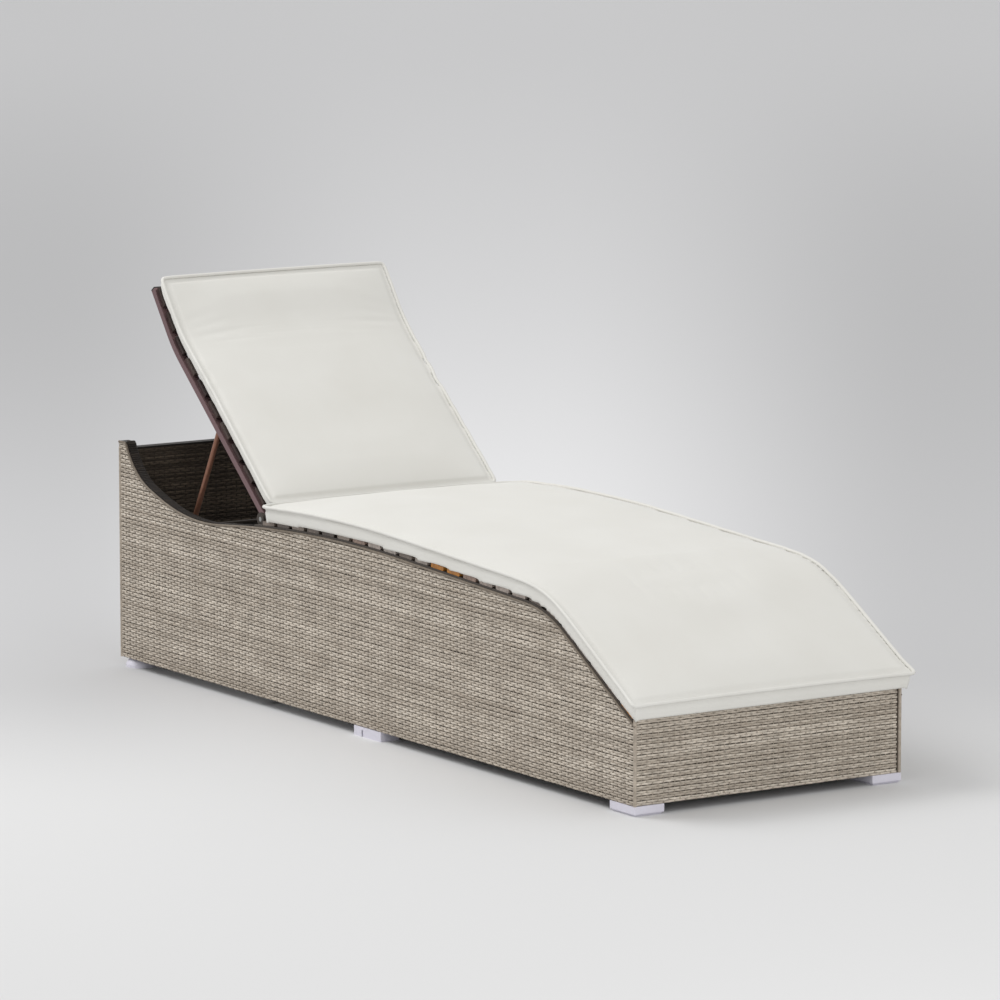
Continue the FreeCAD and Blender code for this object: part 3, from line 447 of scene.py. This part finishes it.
    # Upright stakes
    stake_count = maths("FLOOR", maths("DIVIDE", given["Length"], given["Stake Pitch"]))
    stake_points = maths("CEIL", maths("DIVIDE", given["Height"], double_row))
    upright = rows(stake_count, vector(X=given["Stake Pitch"]), stake_points, vector(Y=double_row))
    upright_own = add(tree, "ShaderNodeSeparateXYZ", {"Vector": place()}).outputs
    stakes = on_panel(upright, upright_own["X"], upright_own["Y"])
    rod = add(
        tree, "GeometryNodeCurvePrimitiveCircle",
        {"Resolution": STAKE_CORNERS, "Radius": maths("MULTIPLY", given["Strand Thickness"], STAKE_SHARE)},
    ).outputs["Curve"]
    stake_mesh = add(
        tree, "GeometryNodeCurveToMesh", {"Curve": stakes, "Profile Curve": rod, "Fill Caps": True}
    ).outputs["Mesh"]
    wanted = add(
        tree, "GeometryNodeSwitch", {"Switch": given["Stakes"], "True": stake_mesh}, input_type="GEOMETRY"
    )
    both = add(tree, "GeometryNodeJoinGeometry")
    for part in (strand_mesh, wanted.outputs["Output"]):
        tree.links.new(part, both.inputs["Geometry"])
    smooth = add(tree, "GeometryNodeSetShadeSmooth", {"Geometry": both.outputs["Geometry"]})
    real = add(
        tree, "GeometryNodeRealizeInstances", {"Geometry": smooth.outputs["Geometry"]}
    ).outputs["Geometry"]
    done = add(tree, "GeometryNodeSetMaterial", {"Geometry": real, "Material": given["Finish"]})
    add(tree, "NodeGroupOutput", {"Strands": done.outputs["Geometry"]})
    return tree


def grown(tree, name, values):
    """Run a geometry tree on an empty mesh with named inputs and keep its result as a mesh."""
    made = shown(name, bpy.data.meshes.new(name))
    modifier = made.modifiers.new(name, "NODES")
    modifier.node_group = tree
    for item in tree.interface.items_tree:
        if item.in_out == "INPUT":
            modifier[item.identifier] = values[item.name]
    return plain_mesh(made, name)


ROW_PITCH = 5.0 * MM
STAKE_PITCH = 13.0 * MM
STRAND_WIDTH = 4.9 * MM
STRAND_THICKNESS = 1.5 * MM
WEAVE_DEPTH = 1.4 * MM
PAIR_SHIFT = 0.75 * MM
SKIN_DEPTH = 1.2 * MM
strand_tree = weave_tree()


def woven(node, name, along, outward, finish, slot, seed):
    """Cover a panel with strands, in two interlaced sets, before a thin sheet that is dark as painted shade
    in the gaps between them.
    """
    low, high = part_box(node)
    thickness = abs((high - low).dot(outward))
    face = high if sum(outward) > 0 else low
    corner = Vector(low)
    for axis in range(3):
        if outward[axis]:
            corner[axis] = face[axis] - outward[axis] * (STRAND_THICKNESS / 2 + WEAVE_DEPTH)
    values = {
        "Panel": nodes[node], "Corner": corner, "Along": along, "Outward": outward,
        "Length": (high - low).dot(along), "Height": high.z - low.z, "Row Pitch": ROW_PITCH,
        "Stake Pitch": STAKE_PITCH, "Strand Width": STRAND_WIDTH, "Strand Thickness": STRAND_THICKNESS,
        "Weave Depth": WEAVE_DEPTH, "Stray": PAIR_SHIFT, "Finish": finish,
    }
    for first_row, label in enumerate(("over", "under")):
        values.update({"First Row": first_row, "Stakes": first_row == 0, "Seed": seed + 100 * first_row})
        put(f"{name}_{label}", grown(strand_tree, name, values), None, "base", slot, node)
    # The sheet behind the strands is dark as painted shade seen through the gaps
    back = merged(node)
    for vert in back.verts:
        depth = (face - vert.co).dot(outward)
        if depth < thickness - SKIN_DEPTH:
            vert.co += outward * (depth - (thickness - SKIN_DEPTH))
    put(f"{name}_backing", to_mesh(back, f"{name}_backing"), painted_shade_wicker, "base", "dark_weave", node)


for number, (side, sign) in enumerate(SIDES):
    outward = Y_AXIS * sign
    woven(
        f"side_panel_{side}", f"side_weave_{side}", X_AXIS, outward, taupe_wicker, "woven_strand", 1 + number
    )
    # Well linings: strands dark as painted shade inside the well
    woven(
        f"well_lining_{side}", f"well_weave_{side}", X_AXIS, -outward, painted_shade_wicker, "dark_weave", 5 + number
    )
woven("head_panel", "head_weave", Y_AXIS, -X_AXIS, taupe_wicker, "woven_strand", 11)
woven("foot_panel", "foot_weave", Y_AXIS, X_AXIS, taupe_wicker, "woven_strand", 12)
# Head well lining: strands dark as painted shade
woven("well_lining_head", "well_weave_head", Y_AXIS, X_AXIS, painted_shade_wicker, "dark_weave", 13)


# Edge rolls along the top of the sides and up the corners
EDGE_RADIUS = 2.6 * MM
EDGE_SUNK = 0.6 * EDGE_RADIUS
EDGE_RAISED = 0.5 * EDGE_RADIUS
CORNER_RADIUS = 3.6 * MM
CORNER_SUNK_X = 0.7 * CORNER_RADIUS
CORNER_SUNK_Y = 0.8 * CORNER_RADIUS


def top_line(node, sign):
    """Corner points of the upper edge of a side panel's outer face, from head to foot."""
    low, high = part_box(node)
    face = high.y if sign > 0 else low.y
    points = {
        (round(v.co.x, 6), round(v.co.z, 6))
        for v in nodes[node].data.vertices
        if abs(v.co.y - face) < TOUCH and v.co.z > low.z + MM
    }
    return [Vector((x, face, z)) for x, z in sorted(points)]


for side, sign in SIDES:
    inward = Vector((0, -sign * EDGE_SUNK, EDGE_RAISED))
    line = [point + inward for point in top_line(f"side_panel_{side}", sign)]
    put(f"edge_roll_{side}", tube("edge_roll", line, EDGE_RADIUS), brown_wicker, "base", "woven_strand")
for end, face, step in (("head", 0, 1), ("foot", 1, -1)):
    for side, sign in SIDES:
        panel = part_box(f"{end}_panel")
        x = panel[face].x + step * CORNER_SUNK_X
        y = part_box(f"side_panel_{side}")[1 if sign > 0 else 0].y - sign * CORNER_SUNK_Y
        line = [Vector((x, y, panel[0].z)), Vector((x, y, panel[1].z))]
        roll = tube("corner_roll", line, CORNER_RADIUS)
        put(f"corner_roll_{end}_{side}", roll, taupe_wicker, "base", "woven_strand")


# Strands wound over the rims of the well, near-black as painted shade
def wound_tree():
    """Copies of a bent strand at an even pitch along a line, each with its own tone."""
    tree = bpy.data.node_groups.new("wound_strands", "GeometryNodeTree")
    tree.interface.new_socket("Strands", in_out="OUTPUT", socket_type="NodeSocketGeometry")
    for name, kind in (
        ("Line", "NodeSocketObject"), ("Strand", "NodeSocketObject"), ("Pitch", "NodeSocketFloat"),
        ("Seed", "NodeSocketInt"), ("Finish", "NodeSocketMaterial"),
    ):
        tree.interface.new_socket(name, in_out="INPUT", socket_type=kind)
    given = add(tree, "NodeGroupInput").outputs
    line, strand = (
        add(tree, "GeometryNodeObjectInfo", {"Object": given[name]}).outputs["Geometry"]
        for name in ("Line", "Strand")
    )
    curve = add(tree, "GeometryNodeMeshToCurve", {"Mesh": line}).outputs["Curve"]
    places = add(
        tree, "GeometryNodeCurveToPoints", {"Curve": curve, "Length": given["Pitch"]}, mode="LENGTH"
    ).outputs
    turn = add(
        tree, "FunctionNodeAlignRotationToVector", {"Vector": places["Tangent"]}, axis="X", pivot_axis="Y"
    ).outputs["Rotation"]
    spread = add(
        tree, "GeometryNodeInstanceOnPoints",
        {"Points": places["Points"], "Instance": strand, "Rotation": turn},
    ).outputs["Instances"]
    tone = add(tree, "FunctionNodeRandomValue", {"Seed": given["Seed"]}, data_type="FLOAT").outputs["Value"]
    toned = add(
        tree, "GeometryNodeStoreNamedAttribute",
        {"Geometry": spread, "Name": "strand_tone", "Value": tone}, data_type="FLOAT", domain="INSTANCE",
    ).outputs["Geometry"]
    real = add(tree, "GeometryNodeRealizeInstances", {"Geometry": toned}).outputs["Geometry"]
    done = add(tree, "GeometryNodeSetMaterial", {"Geometry": real, "Material": given["Finish"]})
    add(tree, "NodeGroupOutput", {"Strands": done.outputs["Geometry"]})
    return tree


WIND_PITCH = 5.2 * MM
WIND_THICKNESS = 1.3 * MM
WIND_DROP = 9 * MM
rim_low, rim_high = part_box("head_rim")
RIM_WIDTH = rim_high.x - rim_low.x
winding = wound_tree()


def wound(name, line, across, along, seed):
    """Wind strands over a rim: from the edge roll across its top and down the inner face."""
    lift = UP * (WIND_THICKNESS / 2)
    inner = across * (RIM_WIDTH + WIND_THICKNESS / 2)
    bends = [across * (2 * EDGE_RADIUS) + lift, inner - across * (2 * WIND_THICKNESS) + lift, inner - lift]
    strand_mesh = tube("strand", bends + [inner - UP * WIND_DROP], WIND_THICKNESS / 2, rounding=1)
    for vert in strand_mesh.vertices:
        vert.co += along * (vert.co.dot(along) * (STRAND_WIDTH / WIND_THICKNESS - 1))
    line_mesh = bpy.data.meshes.new("line")
    line_mesh.from_pydata(line, [(number, number + 1) for number in range(len(line) - 1)], [])
    values = {
        "Line": shown("line", line_mesh), "Strand": shown("strand", strand_mesh),
        "Pitch": WIND_PITCH, "Seed": seed, "Finish": umber_painted_shade_rim_wicker,
    }
    mesh = grown(winding, name, values)
    for helper in (values["Line"], values["Strand"]):
        bpy.data.objects.remove(helper)
    put(name, mesh, None, "base", "dark_weave")


for number, (side, sign) in enumerate(SIDES):
    edge = top_line(f"side_panel_{side}", sign)
    rim_top = []
    for before, point in zip(edge, edge[1:]):
        step = (point - before).normalized()
        rim_top.append(point + Vector((-step.z, 0, step.x)) * (rim_high.z - rim_low.z))
    deck_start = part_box(f"seat_rail_{side}")[0].x
    wound(f"wound_rim_{side}", [p for p in rim_top if p.x < deck_start], Y_AXIS * -sign, X_AXIS, 21 + number)
head_line = [Vector((rim_low.x, y, rim_high.z)) for y in (rim_low.y, rim_high.y)]
wound("wound_rim_head", head_line, X_AXIS, Y_AXIS, 23)


# Slats, each plank with its own tone
AMBER_FROM = 0.82
AMBER_TO = 1.0


def planks(node, body, seed, darkest, palest, heartwood=()):
    """Copy a row of slats; every plank has its own tone, and the heartwood ones are amber."""
    work = merged(node)
    layer = work.verts.layers.float.new("plank_tone")
    chance = random.Random(seed)
    islands = sorted(groups(work.edges), key=lambda verts: min(v.co.x for v in verts))
    for number, island in enumerate(islands):
        tone = chance.uniform(darkest, palest)
        if number in heartwood or number - len(islands) in heartwood:
            tone = chance.uniform(AMBER_FROM, AMBER_TO)
        for vert in island:
            vert[layer] = tone
    put(f"{node}_planks", to_mesh(work, node), wood, body, "slat_wood", node)


planks("seat_slats", "base", 4, darkest=0.05, palest=0.72, heartwood=(11, 12, -1))
# The backrest planks keep to the darkest tones of the same wood: painted shade for their recessed ends
planks("backrest_slats", "backrest", 9, darkest=0.0, palest=0.06)


# Cushions
SEAM_ANGLE = math.radians(40)
UPRIGHT = 0.75
WELT_RADIUS = 3.6 * MM
WELT_STAND = 3.0 * MM
GROOVE_DEPTH = 2.6 * MM
GROOVE_FROM = 3 * MM
GROOVE_TO = 18 * MM
BOXING_GROOVE_TO = 13 * MM
SAG = 3.5 * MM
SAG_RUN = 4 * MM
EAR_REACH = 9 * MM
EAR_RUN = 48 * MM
SEAM_PASSES = 2
SEAM_STEP = 6 * MM
TOP_FACING = 0.6
UNDERSIDE = -0.3


def crease_loop(work, up):
    """Points of the sharp edge round the top of a boxed cushion, in order round its middle."""
    sharp = []
    for edge in work.edges:
        first, second = edge.verts
        upright = abs((second.co - first.co).normalized().dot(up)) > UPRIGHT
        if len(edge.link_faces) == 2 and edge.calc_face_angle(0) > SEAM_ANGLE and not upright:
            sharp.append(edge)
    rings = [[vert.co.copy() for vert in group] for group in groups(sharp)]
    longest = sorted(rings, key=len)[-2:]
    ring = max(longest, key=lambda points: sum(point.dot(up) for point in points) / len(points))
    middle = sum(ring, Vector()) / len(ring)
    along = up.cross(Y_AXIS)
    return sorted(ring, key=lambda p: math.atan2((p - middle).dot(Y_AXIS), (p - middle).dot(along)))


def spaced(loop, step):
    """A closed loop of points at an even spacing."""
    ring = loop + [loop[0]] if (loop[0] - loop[-1]).length > 0.1 * MM else loop
    spans = [(b - a).length for a, b in zip(ring, ring[1:])]
    total = sum(spans)
    count = max(8, round(total / step))
    points = []
    index, passed = 0, 0.0
    for number in range(count):
        target = total * number / count
        while passed + spans[index] < target:
            passed += spans[index]
            index += 1
        points.append(ring[index].lerp(ring[index + 1], (target - passed) / spans[index]))
    return points


def nearest(points):
    """A search tree over points."""
    tree = KDTree(len(points))
    for number, point in enumerate(points):
        tree.insert(point, number)
    tree.balance()
    return tree


CLOTH_FRAMES = 20
CLOTH_QUALITY = 5
CLOTH_PRESSURE = 4
HELD_RUN = 12 * MM


def swollen(piece, held_near, up, cap):
    """Inflate the cover's top by cloth pressure, held along its seam, boxing and underside."""
    tree = nearest(held_near)
    group = piece.vertex_groups.new(name="held")
    for vert in piece.data.vertices:
        distance = tree.find(vert.co)[2]
        aside = vert.normal.dot(up) < TOP_FACING
        weight = 1.0 if aside else max(0.0, 1 - distance / HELD_RUN)
        if weight > 0:
            group.add([vert.index], weight, "REPLACE")
    before = [vert.co.copy() for vert in piece.data.vertices]
    cloth = piece.modifiers.new("cloth", "CLOTH")
    cloth.settings.quality = CLOTH_QUALITY
    cloth.settings.use_pressure = True
    cloth.settings.uniform_pressure_force = CLOTH_PRESSURE
    cloth.settings.vertex_group_mass = "held"
    cloth.settings.effector_weights.gravity = 0
    cloth.point_cache.frame_end = CLOTH_FRAMES
    scene = bpy.context.scene
    for number in range(1, CLOTH_FRAMES + 1):
        scene.frame_set(number)
    graph = bpy.context.evaluated_depsgraph_get()
    after = piece.evaluated_get(graph).to_mesh()
    moved = [vert.co.copy() for vert in after.vertices]
    piece.modifiers.remove(cloth)
    for vert, old, new in zip(piece.data.vertices, before, moved):
        move = new - old
        vert.co = old + move * min(1.0, cap / max(move.length, TINY))
    scene.frame_set(1)


def drawn_to_ears(points, loop):
    """Draw points near the two foot-end corners of a seam out to soft ears."""
    for sign in (-1, 1):
        tip = max(loop, key=lambda point: point.x + sign * point.y)
        away = Vector((1, sign, 0)).normalized()
        for point in points:
            near = max(0.0, 1 - (point - tip).length / EAR_RUN)
            point += away * (EAR_REACH * near ** 2)


def grooved(mesh, seam, up):
    """Press a soft groove into the top and the boxing, on both sides of the welt."""
    tree = nearest(seam)
    normals = [vert.normal.copy() for vert in mesh.vertices]
    for vert, normal in zip(mesh.vertices, normals):
        end = GROOVE_TO if normal.dot(up) > TOP_FACING else BOXING_GROOVE_TO
        share = (tree.find(vert.co)[2] - GROOVE_FROM) / (end - GROOVE_FROM)
        if 0 < share < 1 and normal.dot(up) > UNDERSIDE:
            vert.co -= normal * (GROOVE_DEPTH * math.sin(math.pi * share))


def sagged(mesh, seam, support):
    """Let the boxing that overhangs its support hang a little lower."""
    tree = nearest(seam)
    depth = max(tree.find(vert.co)[0].z - vert.co.z for vert in mesh.vertices if abs(vert.co.y) > support)
    for vert in mesh.vertices:
        out = min(1.0, max(0.0, (abs(vert.co.y) - support) / SAG_RUN))
        drop = min(1.0, max(0.0, (tree.find(vert.co)[0].z - vert.co.z) / depth))
        vert.co.z -= SAG * out * drop ** 2


def cushion(node, body, up, voxel, cap, levels, ears):
    """A padded cover with a welt along its upper seam."""
    work = merged(node)
    work.normal_update()
    loop = spaced(crease_loop(work, up), SEAM_STEP)
    start = shown(node, to_mesh(work, node))
    remesh = start.modifiers.new("voxels", "REMESH")
    remesh.mode = "VOXEL"
    remesh.voxel_size = voxel
    pad = shown(f"{node}_cover", plain_mesh(start, f"{node}_cover"))
    swollen(pad, loop, up, cap)
    finer = pad.modifiers.new("finer", "SUBSURF")
    finer.levels = finer.render_levels = levels
    mesh = plain_mesh(pad, f"{node}_cover")
    surface = BVHTree.FromPolygons([v.co for v in mesh.vertices], [p.vertices for p in mesh.polygons])
    seam = []
    for point in loop:
        seat = surface.find_nearest(point)[0]
        seam.append(seat + (point - seat) * min(1.0, WELT_STAND / max((point - seat).length, TINY)))
    for _ in range(SEAM_PASSES):
        after = seam[1:] + seam[:1]
        before = seam[-1:] + seam[:-1]
        seam = [(first + 2 * point + last) / 4 for first, point, last in zip(before, seam, after)]
    grooved(mesh, seam, up)
    if ears:
        sagged(mesh, seam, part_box("seat_rail_right")[1].y + MM)
        drawn_to_ears([vert.co for vert in mesh.vertices], loop)
        drawn_to_ears(seam, loop)
    mesh.shade_smooth()
    pad = put(f"{node}_cover", mesh, cover, body, "cushion_cover", node)
    cord = tube("welt", seam, WELT_RADIUS, closed=True)
    welt = put(f"{node}_welt", cord, cover, body, "cushion_cover", node)


rail_low, rail_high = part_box("backrest_rail_left")
lean = math.atan2(rail_high.z - rail_low.z, rail_high.x - rail_low.x)
leaning_up = Vector((math.sin(lean), 0, math.cos(lean)))
cushion("seat_cushion", "base", UP, voxel=6 * MM, cap=6 * MM, levels=0, ears=True)
cushion("backrest_cushion", "backrest", leaning_up, voxel=7 * MM, cap=4 * MM, levels=1, ears=False)


# Finishes of the solids that show as they are
FINISHES = {
    polypropylene: ("front_foot", "rear_foot", "middle_foot"),
    # The rims are near-black as painted shade
    umber_painted_shade_rim_wicker: ("side_rim", "head_rim", "foot_rim"),
    bronze: ("backrest_rail", "hinge_knuckles", "prop_lugs"),
    copper: ("prop_leg",),
    nylon: ("prop_sleeves", "hinge_washers", "rail_end_plugs", "prop_rack"),
    zinc: ("hinge_pins", "prop_pins"),
    brown_coat: ("",),
}
for name, item in nodes.items():
    finish = next(f for f, starts in FINISHES.items() if name.startswith(tuple(starts)))
    item.data.materials.clear()
    item.data.materials.append(finish)


# Studio floor, light and camera
VIEW_YAW = math.radians(56.89)
VIEW_PITCH = math.radians(8.53)
VIEW_DISTANCE = 12.4
VIEW_SPREAD = 0.083


def floor_paper():
    """Matt studio paper, pale grey, with painted light: a lighter pool in the middle behind the object, and
    painted falloff that darkens it softly far behind and to both sides.
    """
    made, tree, shader = material("studio_paper", Roughness=0.9, Specular_IOR_Level=0.1)
    place = add(tree, "ShaderNodeTexCoord").outputs["Object"]

    def along(direction):
        made = add(tree, "ShaderNodeVectorMath", {0: place, 1: direction}, operation="DOT_PRODUCT")
        return made.outputs["Value"]

    def eased(value, low, high):
        made = add(
            tree, "ShaderNodeMapRange", {"Value": value, "From Min": low, "From Max": high},
            interpolation_type="SMOOTHSTEP",
        )
        return made.outputs["Result"]

    def mixed(share, first, second):
        made = add(tree, "ShaderNodeMix", {0: share, MIX_A: first, MIX_B: second}, data_type="RGBA")
        return made.outputs[MIX_OUT]

    def maths(operation, first, second):
        return add(tree, "ShaderNodeMath", {0: first, 1: second}, operation=operation).outputs["Value"]

    behind = along((-math.sin(VIEW_YAW), math.cos(VIEW_YAW), 0))
    across = along((math.cos(VIEW_YAW), math.sin(VIEW_YAW), 0))
    spread = maths("DIVIDE", across, maths("MAXIMUM", maths("ADD", behind, VIEW_DISTANCE), 1.0))
    aside = eased(maths("MULTIPLY", maths("ABSOLUTE", spread, 0.0), 1 / VIEW_SPREAD), 0.1, 0.9)
    # Painted light: lighter in the middle behind the object, darker to both sides
    back = mixed(aside, linear("E6E6E7"), linear("C4C4C5"))
    far = mixed(aside, linear("DDDDDE"), linear("D9D9DA"))
    beyond = mixed(eased(behind, 3.0, 20.0), back, far)
    colour = mixed(eased(behind, -1.0, 0.7), linear("DADADA"), beyond)
    tree.links.new(colour, shader.inputs["Base Color"])
    return made


FLOOR_REACH = 70.0
AIM = Vector((0, 0, 0.3))


def studio():
    mesh = bpy.data.meshes.new("floor")
    corners = [(x * FLOOR_REACH, y * FLOOR_REACH, 0) for x, y in ((-1, -1), (1, -1), (1, 1), (-1, 1))]
    mesh.from_pydata(corners, [], [(0, 1, 2, 3)])
    mesh.materials.append(floor_paper())
    shown("floor", mesh)
    for name, place, width, power in (
        ("key", (-2.6, -2.8, 5.0), 3.5, 160.0),
        ("fill", (4.4, -1.0, 0.5), 2.5, 36.0),
    ):
        lamp = bpy.data.lights.new(name, "AREA")
        lamp.energy = power
        lamp.size = width
        holder = shown(name, lamp)
        holder.location = place
        holder.rotation_euler = (AIM - Vector(place)).to_track_quat("-Z", "Y").to_euler()
    world = bpy.data.worlds.new("studio")
    bpy.context.scene.world = world
    world.use_nodes = True
    sky = world.node_tree.nodes["Background"]
    sky.inputs["Color"].default_value = linear("F3F3F3")
    sky.inputs["Strength"].default_value = 0.89


def camera():
    lens = bpy.data.cameras.new("camera")
    lens.sensor_width = 36.0
    lens.lens = 217.7
    lens.clip_end = 200.0
    eye = shown("camera", lens)
    eye.location = (10.417, -6.775, 2.331)
    eye.rotation_euler = (math.pi / 2 - VIEW_PITCH, 0, VIEW_YAW)
    bpy.context.scene.camera = eye


studio()
camera()
bpy.context.scene.view_settings.view_transform = "Standard"
